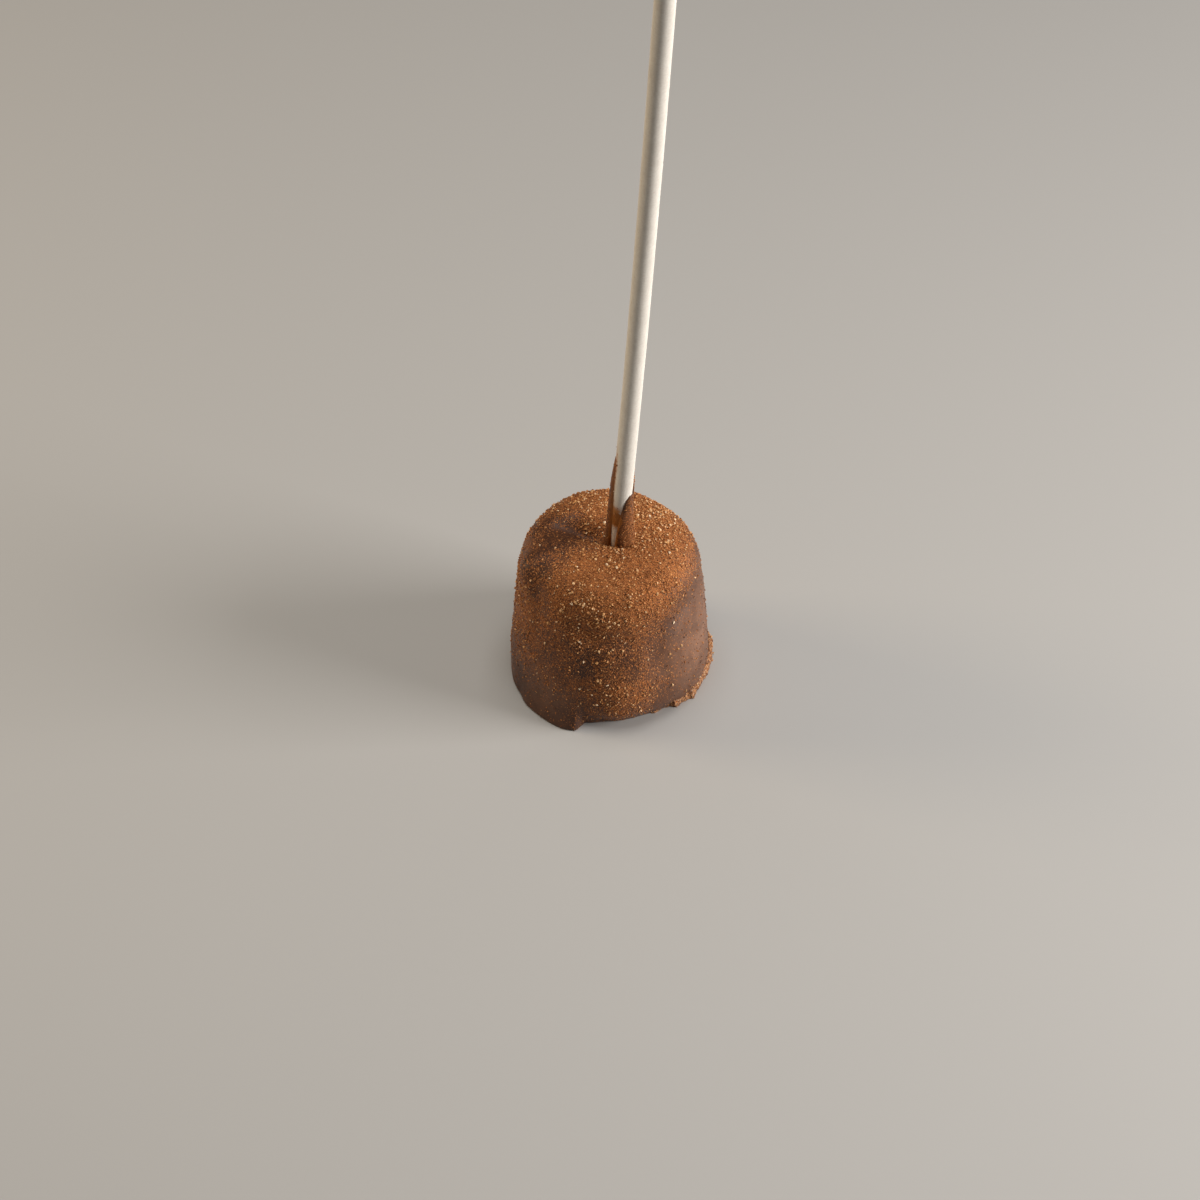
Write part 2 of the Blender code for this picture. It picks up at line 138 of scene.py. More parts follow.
COVER_PATCHES = (2.6, 0.45)   # size of the patches it lies in, and how much they change the cover
# Where the coarser crumbs fell: (angle, distance from the axis, height), reach, share.
COARSE_SPOTS = [((22, 8.0, 32.0), 6.5, 1.0), ((75, 8.0, 32.0), 5.0, 0.7), ((-95, 5.0, 32.5), 3.6, 0.9),
                ((-110, 15.0, 28.0), 3.6, 0.9), ((-90, 16.5, 19.0), 5.0, 0.5), ((-84, 18.0, 8.0), 4.5, 0.5),
                ((-150, 17.0, 25.0), 5.0, 0.25), ((130, 10.0, 32.0), 4.0, 0.5)]
# Where the skin is milkier, placed the same way. This is partly real bloom and partly a painted highlight,
# strongest on the lower right wall that faces the right soft box. Both are found a little everywhere.
BLOOM_AND_HIGHLIGHT_SPOTS = [((-22, 18.0, 13.0), 11.0, 0.95), ((-125, 19.0, 6.0), 6.0, 0.45), ((0, 17.0, 26.0), 7.0, 0.15),
               ((95, 18.0, 12.0), 12.0, 0.6)]
COARSE_LEAST = 0.12
BLOOM_LEAST = 0.05

SLACK = (5.0, 0.11)           # size and height of the coat's soft unevenness
RIPPLE = (2.2, 0.03)
HEAP = (0.95, 0.07)           # lumps of cocoa, where it lies thick
CRUMB_RELIEF = (0.42, 0.05)
SOCKET = (0.45, 1.6)          # the gap round the stick: its width and depth

STICK_RADIUS = 1.75
STICK_ENTRY = Vector((1.4, -1.55, 32.3))
STICK_LEAN = Vector((0.055, -0.21, 1.0))


def by_angle(angles, table):
    """A quantity given at a few angles in degrees, eased smoothly from one to the next."""
    knots = sorted((a % 360, v) for a, v in table)
    knots = [(knots[-1][0] - 360, knots[-1][1])] + knots + [(knots[0][0] + 360, knots[0][1])]
    at = np.array([a for a, _ in knots])
    value = np.array([v for _, v in knots])
    turned = np.asarray(angles) % 360
    i = np.clip(np.searchsorted(at, turned, side="right") - 1, 0, len(at) - 2)
    x = (turned - at[i]) / (at[i + 1] - at[i])
    ease = x * x * (3 - 2 * x)
    return value[i] * (1 - ease) + value[i + 1] * ease


def polar(angle, out, up):
    turn = math.radians(angle)
    return out * math.cos(turn), out * math.sin(turn), up


def smooth_step(low, high, value):
    """0 below low, 1 above high, eased between; with low above high it falls instead."""
    t = np.clip((np.asarray(value) - low) / (high - low), 0, 1)
    return t * t * (3 - 2 * t)


def blank_profile(steps):
    """Radius and height of the turned blank from the crown down to the floor, in equal steps."""
    middle = BODY_HEIGHT / 2
    edge_centre = FLOOR_EDGE - FLOOR_SPARE
    turn = np.linspace(math.pi / 2, 0, 4 * OUTLINE_DETAIL)
    wall = np.linspace(middle, edge_centre, OUTLINE_DETAIL)[1:]
    edge = np.linspace(0, math.pi / 2, OUTLINE_DETAIL // 8)[1:]
    height = np.concatenate([middle * (1 + np.sin(turn) ** (2 / SHOULDER_POWER)), wall])
    squareness = np.concatenate([np.cos(turn) ** (2 / SHOULDER_POWER), np.ones(len(wall))])
    radius = WALL_RADIUS * (1 - WALL_TAPER * (height / middle - 1)) * squareness
    radius = np.concatenate([radius, radius[-1] - FLOOR_EDGE * (1 - np.cos(edge))])
    height = np.concatenate([height, edge_centre - FLOOR_EDGE * np.sin(edge)])
    along = np.concatenate([[0], np.cumsum(np.hypot(np.diff(radius), np.diff(height)))])
    at = np.linspace(0, along[-1], steps + 1)
    return np.interp(at, along, radius), np.interp(at, along, height)


def fold_path(points, on_wall):
    """Points of the blank's surface, each with its share of the fold's depth, as rows x, y, z, share."""
    radius, height = blank_profile(OUTLINE_DETAIL)
    widest = int(radius.argmax())
    rows = []
    for angle, place, share in points:
        if on_wall:
            r, z = np.interp(place, height[::-1], radius[::-1]), place
        else:
            r, z = place, np.interp(place, radius[:widest], height[:widest])
        rows.append((*polar(angle, r, z), share))
    return np.array(rows)


def fold_depth(points, path, width, depth):
    """How far a soft ridge along the path lifts each point; it falls off as a bell over its width."""
    nearest = np.full(len(points), np.inf)
    share = np.zeros(len(points))
    for start, end in zip(path, path[1:] if len(path) > 1 else path):
        run = end[:3] - start[:3]
        t = np.clip((points - start[:3]) @ run / max(run @ run, 1e-9), 0, 1)
        gap = np.linalg.norm(points - (start[:3] + t[:, None] * run), axis=1)
        here = gap < nearest
        nearest = np.where(here, gap, nearest)
        share = np.where(here, start[3] + t * (end[3] - start[3]), share)
    return depth * share * np.exp(-(nearest / width) ** 2)


def unevenness(points, size, octaves=2, shift=0.0):
    """Smooth noise of about -1 to 1 at each point, in lumps of that size."""
    away = Vector((shift, 2.3 * shift, -1.7 * shift))
    return np.array([noise.fractal(Vector(p) / size + away, 1.0, 2.0, octaves) for p in points])


def vertex_array(bm):
    return np.array([v.co for v in bm.verts])


def normal_array(bm):
    bm.normal_update()
    return np.array([v.normal for v in bm.verts])


def place_verts(bm, places):
    for vert, place in zip(bm.verts, places):
        vert.co = place


def mark_verts(bm, name, values):
    """Keeps a number at each vertex under that name, for the materials and the scattering to read."""
    layer = bm.verts.layers.float.get(name) or bm.verts.layers.float.new(name)
    for vert, value in zip(bm.verts, values):
        vert[layer] = value


def spin_outline(outline, segments, closed=False):
    """A bmesh of the outline, a row of (radius, height), turned full circle about Z."""
    bm = bmesh.new()
    line = [bm.verts.new((r, 0, z)) for r, z in outline]
    for here, after in zip(line, line[1:] + (line[:1] if closed else [])):
        bm.edges.new((here, after))
    bmesh.ops.spin(bm, geom=bm.verts[:] + bm.edges[:], cent=(0, 0, 0), axis=(0, 0, 1), dvec=(0, 0, 0),
                   angle=2 * math.pi, steps=segments, use_merge=True, use_duplicate=False)
    bmesh.ops.remove_doubles(bm, verts=bm.verts, dist=1e-4)
    bmesh.ops.recalc_face_normals(bm, faces=bm.faces)
    return bm


def cap_holes(bm):
    bmesh.ops.holes_fill(bm, edges=[e for e in bm.edges if e.is_boundary], sides=0)
    bmesh.ops.recalc_face_normals(bm, faces=bm.faces)


def stick_frame():
    """Places a piece modelled along Z, front to -Y, on the stick's line with its entry at zero."""
    up = STICK_LEAN.normalized()
    right = Vector((0, -1, 0)).cross(up).normalized() * -1
    back = up.cross(right)
    turn = Matrix((right, back, up)).transposed().to_4x4()
    return Matrix.Translation(STICK_ENTRY) @ turn


def on_stick(points):
    """Points in the stick's own frame: x to its right, y to its back, z along it from the entry."""
    turn = np.array(stick_frame().inverted())
    return points @ turn[:3, :3].T + turn[:3, 3]


def settle_faces(bm):
    """Puts faces and corners in one fixed order, so that what is strewn on them falls alike each run."""
    bm.verts.index_update()
    rings = []
    for face in bm.faces:
        ring = [v.index for v in face.verts]
        first = ring.index(min(ring))
        rings.append(ring[first:] + ring[:first])
    verts = bm.verts[:]
    bmesh.ops.delete(bm, geom=bm.faces[:], context="FACES_ONLY")
    for ring in sorted(rings):
        bm.faces.new([verts[i] for i in ring])


def mesh_from(bm, name):
    mesh = bpy.data.meshes.new(name)
    bm.to_mesh(mesh)
    bm.free()
    return mesh


def new_object(name, data):
    """A new object that holds the data, in the scene."""
    made = bpy.data.objects.new(name, data)
    bpy.context.scene.collection.objects.link(made)
    return made


def new_piece(name, bm, material):
    """A finished piece, in metres, that rides on the part's one body."""
    settle_faces(bm)
    bmesh.ops.scale(bm, vec=(MM, MM, MM), verts=bm.verts)
    mesh = mesh_from(bm, name)
    mesh.materials.append(material)
    mesh.shade_smooth()
    piece = new_object(name, mesh)
    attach(piece, "root")
    return piece


def fill(tree, made, values):
    """Fills inputs of a node, each with a number, a colour or a link."""
    for key, value in values.items():
        if isinstance(value, bpy.types.NodeSocket):
            tree.links.new(value, made.inputs[key])
        else:
            made.inputs[key].default_value = value


def node(tree, kind, values=None, **settings):
    """A new node with its settings, its inputs filled with the values."""
    made = tree.nodes.new(kind)
    for key, value in settings.items():
        setattr(made, key, value)
    fill(tree, made, values or {})
    return made


def new_material(name):
    """A material with its node tree and its shader."""
    material = bpy.data.materials.new(name)
    material.use_nodes = True
    return material, material.node_tree, material.node_tree.nodes["Principled BSDF"]


def calc(tree, operation, a, b):
    return node(tree, "ShaderNodeMath", {0: a, 1: b}, operation=operation).outputs[0]


def times(tree, a, b):
    return calc(tree, "MULTIPLY", a, b)


def between(tree, value, low, high, bottom=0.0, top=1.0):
    """Eases from bottom to top as the value goes from low to high."""
    return node(tree, "ShaderNodeMapRange", {"Value": value, "From Min": low, "From Max": high,
                                             "To Min": bottom, "To Max": top},
                interpolation_type="SMOOTHSTEP").outputs["Result"]


def tint(tree, share, under, over):
    """The colour under with the colour over mixed in by its share."""
    return node(tree, "ShaderNodeMix", {0: share, 6: under, 7: over}, data_type="RGBA").outputs[2]


def weigh(tree, share, under, over):
    """The same for two numbers."""
    return node(tree, "ShaderNodeMix", {0: share, 2: under, 3: over}).outputs[0]


def speckle(tree, where, size, detail):
    """A noise pattern with lumps of that size in millimetres."""
    values = {"Vector": where, "Scale": 1 / (size * MM), "Detail": detail}
    return node(tree, "ShaderNodeTexNoise", values).outputs["Fac"]


def stored(tree, name):
    return node(tree, "ShaderNodeAttribute", attribute_name=name).outputs["Fac"]


DARK_COCOA = (0.170, 0.055, 0.016, 1)
ORANGE_COCOA = (0.48, 0.162, 0.040, 1)
GOLDEN_COCOA = (0.66, 0.32, 0.115, 1)
HAZE = (0.22, 0.76, 0.46)     # the finest cocoa: size, threshold where bare, and what full cover takes off
SMALL_POWDER = (0.19, 0.95)   # size of the dots, and the share of them there at full cover
LARGE_POWDER = (0.33, 0.55)
DULL = 0.3                    # specular level of cocoa and chocolate


def powder_layer(tree, where, cover, powder):
    """Dots of cocoa, each with its own tint; their share of the surface rises with the cover."""
    size, full = powder
    cells = node(tree, "ShaderNodeTexVoronoi", {"Vector": where, "Scale": 1 / (size * MM)},
                 feature="F1")
    chance = node(tree, "ShaderNodeSeparateColor", {0: cells.outputs["Color"]})
    dot = between(tree, cells.outputs["Distance"], 0.30, 0.55, 1.0, 0.0)
    there = calc(tree, "GREATER_THAN", times(tree, cover, full), chance.outputs[0])
    shade = chance.outputs[1]
    warm = tint(tree, between(tree, shade, 0.0, 0.6), DARK_COCOA, ORANGE_COCOA)
    colour = tint(tree, between(tree, shade, 0.70, 1.0, 0.0, 0.75), warm, GOLDEN_COCOA)
    return times(tree, dot, there), colour


def cocoa_dusting():
    """Cocoa too fine to be grains: where it lies at a given cover, its colour and its height."""
    group = bpy.data.node_groups.new("cocoa dusting", "ShaderNodeTree")
    for label, way, kind in (("Cover", "INPUT", "Float"), ("Mask", "OUTPUT", "Float"),
                             ("Colour", "OUTPUT", "Color"), ("Height", "OUTPUT", "Float")):
        group.interface.new_socket(label, in_out=way, socket_type=f"NodeSocket{kind}")
    cover = node(group, "NodeGroupInput").outputs["Cover"]
    where = node(group, "ShaderNodeTexCoord").outputs["Object"]
    run_down = node(group, "ShaderNodeMapping", {"Vector": where, "Scale": (1, 1, 0.6)}).outputs[0]
    size, bare, fall = HAZE
    fine = speckle(group, run_down, size, 4.0)
    threshold = calc(group, "SUBTRACT", bare, times(group, cover, fall))
    haze = between(group, calc(group, "SUBTRACT", fine, threshold), -0.16, 0.16, 0.0, 0.85)
    haze_colour = tint(group, between(group, fine, 0.35, 0.62), DARK_COCOA, ORANGE_COCOA)
    small, small_colour = powder_layer(group, where, cover, SMALL_POWDER)
    large, large_colour = powder_layer(group, where, cover, LARGE_POWDER)
    colour = tint(group, small, haze_colour, small_colour)
    colour = tint(group, large, colour, large_colour)
    mask = calc(group, "MAXIMUM", haze, calc(group, "MAXIMUM", small, large))
    height = calc(group, "ADD", times(group, small, 0.5), times(group, haze, 0.4))
    height = calc(group, "ADD", height, large)
    node(group, "NodeGroupOutput", {"Mask": mask, "Colour": colour, "Height": height})
    return group


COCOA_DUSTING = cocoa_dusting()

DARK_CHOCOLATE = (0.034, 0.011, 0.005, 1)
MILKY_CHOCOLATE = (0.078, 0.028, 0.012, 1)
# milky tint: real bloom, and also a painted highlight where its spots gather on the lit right wall
BLOOM_AND_HIGHLIGHT = (0.225, 0.112, 0.066, 1)
AMBER_FILM = (0.32, 0.108, 0.018, 1)
BROKEN_CHOCOLATE = (0.19, 0.082, 0.038, 1)
PALE_CRUMB = (0.48, 0.27, 0.135, 1)
SKIN_SHEEN = (0.03, 0.35)     # weight and roughness of the soft bloom at glancing angles
CLOUD_SIZE = 7.0
BLOOM_SIZE = 3.0
SKIN_GRAIN = 0.35
SKIN_GLOSS = (0.44, 0.56)     # roughness of the bare skin, which varies between the two
FILM_GLOSS = 0.30
COCOA_MATT = 0.88
SKIN_RELIEF = (0.10, 2.0)     # height of the skin's grain where whole and where broken


def chocolate_finish():
    """Set chocolate: brown clouds and a milky bloom on a smooth skin, with cocoa over it; the milky tint is
    partly a painted highlight on the lit right wall.
    """
    material, tree, shader = new_material("set_chocolate")
    where = node(tree, "ShaderNodeTexCoord").outputs["Object"]
    clouds = speckle(tree, where, CLOUD_SIZE, 3.0)
    bloom = speckle(tree, where, BLOOM_SIZE, 4.0)
    skin = speckle(tree, where, SKIN_GRAIN, 3.0)
    cocoa = node(tree, "ShaderNodeGroup", {"Cover": stored(tree, "dust")}, node_tree=COCOA_DUSTING)

    brown = tint(tree, between(tree, clouds, 0.35, 0.65), DARK_CHOCOLATE, MILKY_CHOCOLATE)
    # milky tint by the spots: real bloom, and a painted highlight on the right wall that faces the soft box
    milky_and_lit = times(tree, stored(tree, "bloom"), between(tree, bloom, 0.25, 0.65, 0.55, 1.0))
    brown = tint(tree, milky_and_lit, brown, BLOOM_AND_HIGHLIGHT)
    brown = tint(tree, between(tree, skin, 0.55, 0.75, 0.0, 0.35), brown, DARK_CHOCOLATE)
    brown = tint(tree, stored(tree, "film"), brown, AMBER_FILM)
    crumb = tint(tree, between(tree, skin, 0.48, 0.62), BROKEN_CHOCOLATE, PALE_CRUMB)
    snapped = times(tree, stored(tree, "broken"), between(tree, skin, 0.3, 0.5))
    brown = tint(tree, snapped, brown, crumb)
    colour = tint(tree, cocoa.outputs["Mask"], brown, cocoa.outputs["Colour"])

    gloss = weigh(tree, stored(tree, "film"), between(tree, skin, 0.3, 0.7, *SKIN_GLOSS), FILM_GLOSS)
    rough = weigh(tree, cocoa.outputs["Mask"], gloss, COCOA_MATT)
    rugged = weigh(tree, stored(tree, "broken"), *SKIN_RELIEF)
    relief = calc(tree, "ADD", times(tree, skin, rugged), cocoa.outputs["Height"])
    bump = node(tree, "ShaderNodeBump", {"Height": relief, "Strength": 0.6, "Distance": 0.10 * MM})
    weight, spread = SKIN_SHEEN
    fill(tree, shader, {"Base Color": colour, "Roughness": rough, "Normal": bump.outputs["Normal"],
                        "Specular IOR Level": DULL, "Sheen Weight": weight, "Sheen Roughness": spread})
    return material


def cocoa_cover_and_trench_shade(points):
    """Share of the skin that cocoa covers at each point of the blank; kept low in the trench left of the
    stick, where it also paints the trench's shade.
    """
    radius, height = blank_profile(OUTLINE_DETAIL)
    skin = np.concatenate([[0], np.cumsum(np.hypot(np.diff(radius), np.diff(height)))])
    outward = np.maximum.accumulate(radius - height)
    down = np.interp(np.hypot(points[:, 0], points[:, 1]) - points[:, 2], outward, skin)
    angle = np.degrees(np.arctan2(points[:, 1], points[:, 0]))
    rings = [ring for ring, _ in COCOA_COVER_AND_TRENCH_SHADE]
    row = np.clip(np.interp(down, rings, range(len(rings))), 0, len(rings) - 1.001)
    shares = np.stack([by_angle(angle, table) for _, table in COCOA_COVER_AND_TRENCH_SHADE])
    upper, t = row.astype(int), row % 1
    each = np.arange(len(points))
    cover = shares[upper, each] * (1 - t) + shares[upper + 1, each] * t
    size, change = COVER_PATCHES
    return np.clip(cover + change * np.sqrt(cover) * unevenness(points, size, 3, 40.0) * 0.6, 0.01, 1)


def spot_share(points, spots, least):
    """How strongly the spots reach each point of the blank, from least to 1."""
    share = np.full(len(points), least)
    for (angle, out, height), reach, amount in spots:
        middle = np.array(polar(angle, out, height))
        share += amount * np.exp(-(np.linalg.norm(points - middle, axis=1) / reach) ** 2)
    return np.clip(share, 0, 1)


def coat_mesh():
    bm = spin_outline(zip(*blank_profile(COAT_RINGS)), COAT_SEGMENTS)
    cap_holes(bm)

    blank = vertex_array(bm)
    normals = normal_array(bm)
    lift = np.zeros(len(blank))
    for folds, on_wall in ((WALL_FOLDS, True), (CROWN_FOLDS, False)):
        for width, depth, path in folds.values():
            lift += fold_depth(blank, fold_path(path, on_wall), width, depth)
    normals[blank[:, 2] < FLOOR_EDGE - FLOOR_SPARE] = 0
    folded = blank + normals * lift[:, None]
    angle = np.degrees(np.arctan2(blank[:, 1], blank[:, 0]))
    wall_foot = WALL_RADIUS * (1 + WALL_TAPER)
    spread = by_angle(angle, FOOT_OUTLINE) - wall_foot
    near_floor = np.exp(-(np.clip(blank[:, 2], 0, None) / FOOT_RISE) ** FOOT_FADE)
    folded[:, :2] *= (1 + spread * near_floor / wall_foot)[:, None]
    place_verts(bm, folded)

    cover = cocoa_cover_and_trench_shade(blank)
    off_floor = smooth_step(0.0, 1.5, folded[:, 2])
    relief = sum(depth * unevenness(folded, size, 2, size) for size, depth in (SLACK, RIPPLE))
    for size, depth in (HEAP, CRUMB_RELIEF):
        relief += depth * cover ** 2 * unevenness(folded, size, 2, 7 * size)
    places = folded + normal_array(bm) * (relief * off_floor)[:, None]

    local = on_stick(places)
    gap, sink = SOCKET
    from_stick = np.hypot(local[:, 0], local[:, 1])
    near_top = smooth_step(-6.0, -3.0, local[:, 2])
    places[:, 2] -= sink * near_top * smooth_step(STICK_RADIUS + gap, STICK_RADIUS + 0.1, from_stick)
    place_verts(bm, places)
    # dust: the cocoa cover, which also paints shade in the trench by leaving it bare
    mark_verts(bm, "dust", cover * smooth_step(STICK_RADIUS, STICK_RADIUS + gap, from_stick))
    mark_verts(bm, "coarse", spot_share(blank, COARSE_SPOTS, COARSE_LEAST))
    # the milky spots, partly a painted highlight on the lit right wall
    mark_verts(bm, "bloom", spot_share(blank, BLOOM_AND_HIGHLIGHT_SPOTS, BLOOM_LEAST))
    bmesh.ops.bisect_plane(bm, geom=bm.verts[:] + bm.edges[:] + bm.faces[:], dist=1e-6,
                           plane_co=(0, 0, 0), plane_no=(0, 0, 1), clear_inner=True)
    cap_holes(bm)
    return bm


chocolate = chocolate_finish()
coat = new_piece("chocolate_coat", coat_mesh(), chocolate)
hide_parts("coated_marshmallow")

# ---- The collar ----
# Chocolate that was drawn up the stick and set there: a thin wing up its left side, a thick tongue
# up its right, and between them a notch of bare paper, crossed by one film. Thin chocolate is amber.
# The tables run round the stick: (angle from the front, value).
COLLAR_TOP = [(-90, 26.0), (-78, 25.0), (-70, 20.0), (-63, 15.0), (-54, 9.5), (-49, 4.0), (-44, -0.5),
              (-38, -2.5), (-24, -2.5), (-19, 1.0), (-14, 6.0), (-8, 9.0), (0, 11.2), (9, 13.2), (20, 14.7),
              (42, 15.8), (62, 15.6), (74, 15.3), (84, 19.0), (92, 20.5), (120, 20.0), (150, 17.7),
              (180, 16.7), (-140, 19.7), (-110, 24.0)]
COLLAR_FILM = [(-150, 0.50), (-112, 0.55), (-90, 0.55), (-70, 0.34), (-56, 0.24), (-30, 0.20), (0, 0.30),
               (30, 0.36), (60, 0.34), (78, 0.20), (95, 0.16), (130, 0.28), (180, 0.45)]
COLLAR_BASE = [(-90, 0.62), (-56, 0.34), (-30, 0.25), (-10, 0.45), (20, 0.75), (60, 1.1), (100, 1.2),
               (180, 1.1)]
COLLAR_TAPER = 1.6
COLLAR_POINT = [(-120, 9.0), (-55, 9.0), (-20, 3.0), (60, 2.0), (120, 4.0), (180, 5.0)]
POINT_LEAST = 0.2             # share of its thickness that is left at the end of that thin point
COLLAR_FLARE = (0.8, 1.2)
COLLAR_ROOT = 5.0
COLLAR_HEIGHT = 28.0
COLLAR_SEGMENTS = 240
COLLAR_RINGS = 200
COLLAR_ROUND = 0.40           # width over which its edge rounds off
COLLAR_SUNK = 0.14            # how far it lies under the paper's skin where it is missing
COLLAR_WOBBLE = (1.5, 0.10)   # size of its drips, and their share of its thickness
AMBER_WINDOW = ((-24, 8.6), (1.0, 2.2), 0.06)     # middle, half width and height, and thickness
WINDOW_RAGGED = (0.8, 0.12)   # size of the bites out of its edge, and their depth
AMBER_EDGE = (0.75, 0.1)      # it turns amber from the first distance from its edge to the second
AMBER_CLIMB = (14, 8)         # up its right side it is amber below the second level only
AMBER_PATCHES = 1.2
COLLAR_RED = 0.16             # how far the thick chocolate leans to that colour too
COCOA_FILM = 0.12             # cocoa clings where the chocolate is thicker than this
COLLAR_COCOA = [(-90, 0.30), (-60, 0.10), (-30, 0.06), (10, 0.22), (50, 0.32), (85, 0.40), (140, 0.8),
                (180, 0.6)]


def round_stick(angles, table):
    """A quantity given at a few angles round the stick: straight runs between them, eased together."""
    degrees = np.arange(360)
    straight = np.interp(degrees, [a for a, _ in table], [v for _, v in table], period=360)
    ease = np.hanning(11)
    eased = np.convolve(np.tile(straight, 3), ease / ease.sum(), "same")[360:720]
    return np.interp(angles, degrees, eased, period=360)


def collar_mesh():
    levels = np.linspace(-COLLAR_ROOT, COLLAR_HEIGHT, COLLAR_RINGS)
    inside, outside = STICK_RADIUS - 2 * COLLAR_SUNK, STICK_RADIUS
    section = [(outside, s) for s in levels] + [(inside, levels[-1]), (inside, levels[0])]
    bm = spin_outline(section, COLLAR_SEGMENTS, closed=True)
    places = vertex_array(bm)
    radius = np.hypot(places[:, 0], places[:, 1])
    turn = np.arctan2(places[:, 0], -places[:, 1])
    angle = np.degrees(turn)
    along = places[:, 2]
    arc = turn * STICK_RADIUS

    top = round_stick(angle, COLLAR_TOP)
    climb = np.clip(along / np.maximum(top, COLLAR_ROOT), 0, 1)
    film, base = round_stick(angle, COLLAR_FILM), round_stick(angle, COLLAR_BASE)
    thickness = film + np.maximum(base - film, 0) * (1 - climb) ** COLLAR_TAPER
    flare, fade = COLLAR_FLARE
    thickness += flare * base * np.exp(-np.clip(along + 1.0, 0, None) / fade)
    below_tip = smooth_step(-0.3, 1, (top - along) / round_stick(angle, COLLAR_POINT))
    thickness *= POINT_LEAST + (1 - POINT_LEAST) * below_tip
    size, share = COLLAR_WOBBLE
    drips = np.stack([places[:, 0], places[:, 1], along * 0.6], axis=1)
    thickness *= 1 + share * unevenness(drips, size, 2, 3.0)

    rim_angle = np.linspace(-180, 180, 1081)
    rim_arc, rim_top = np.radians(rim_angle) * STICK_RADIUS, round_stick(rim_angle, COLLAR_TOP)
    to_rim = np.array([np.hypot(rim_arc - a, rim_top - s).min() for a, s in zip(arc, along)])
    inward = np.clip(to_rim / COLLAR_ROUND, 0, 1) * (along < top)
    thickness *= np.sqrt(1 - (1 - inward) ** 2)
    (window_angle, window_s), (half_width, half_height), window_film = AMBER_WINDOW
    off_middle = np.hypot((arc - math.radians(window_angle) * STICK_RADIUS) / half_width,
                          (along - window_s) / half_height)
    size, depth = WINDOW_RAGGED
    ragged = off_middle + depth * unevenness(places, size, 2, 9.0)
    thickness = np.maximum(thickness, window_film * smooth_step(1.0, 0.75, ragged))
    thickness = np.where(thickness > 1e-3, thickness, -COLLAR_SUNK)

    radius = np.where(radius > STICK_RADIUS - COLLAR_SUNK, STICK_RADIUS + thickness, radius)
    place_verts(bm, np.stack([radius * np.sin(turn), -radius * np.cos(turn), along], axis=1))
    starts, ends = AMBER_EDGE
    at_front = smooth_step(-105, -85, angle) * smooth_step(25, 5, angle)
    low_down = np.where(angle < -25, 1, smooth_step(*AMBER_CLIMB, along))
    patchy = 0.8 + 0.4 * unevenness(places, AMBER_PATCHES, 2, 4.0)
    amber = smooth_step(starts, ends, to_rim) * low_down * patchy
    amber = np.maximum(amber, 0.9 * (ragged < 1))
    mark_verts(bm, "film", np.clip(at_front * amber, COLLAR_RED, 1))
    cocoa = round_stick(angle, COLLAR_COCOA) * smooth_step(0.05, 0.5, to_rim)
    mark_verts(bm, "dust", cocoa * (thickness > COCOA_FILM))
    bmesh.ops.recalc_face_normals(bm, faces=bm.faces)
    bmesh.ops.transform(bm, matrix=stick_frame(), verts=bm.verts)
    return bm


collar = new_piece("chocolate_collar", collar_mesh(), chocolate)
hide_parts("coated_marshmallow")

# ---- The broken crust ----
# A thin shelf of chocolate that ran out on the tray along the right of the foot and snapped off
# when the marshmallow was lifted: dark on top, pale and ragged along the break.
CRUST_OUTLINE = [(-70, 14.8), (-64, 15.2), (-60, 16.0), (-53, 15.9), (-48, 16.3), (-45, 17.4), (-41, 17.3),
                 (-36, 17.6), (-33, 18.4), (-28, 18.0), (-20, 18.0), (-9, 18.5), (6, 19.1), (14, 19.6),
                 (20, 19.5), (26, 17.8), (60, 17.0), (180, 17.0), (-80, 14.6)]
CRUST_SECTION = [(0.0, 0.0), (1.0, 0.0), (1.02, 0.25), (0.98, 0.5), (0.85, 0.8), (0.7, 0.92), (0.5, 1.0),
                 (0.0, 1.0)]  # outwards and up, as shares of the crust's width and height
CRUST_HEIGHT = 2.2
CRUST_SHELF = 1.3
CRUST_ROOT = 4.0
CRUST_EDGE = (0.5, 1.1)       # least and greatest height of its edge
CRUST_ARC = (-82, 40)
CRUST_STEPS = 560
CRUST_RAGGED = (0.55, 0.17)   # size of the bites out of its edge, and their depth
CRUST_WAVES = 1.4             # length of the rises and dips along its edge
CRUST_LUMPS = (0.8, 0.10)     # size and height of the lumps on it


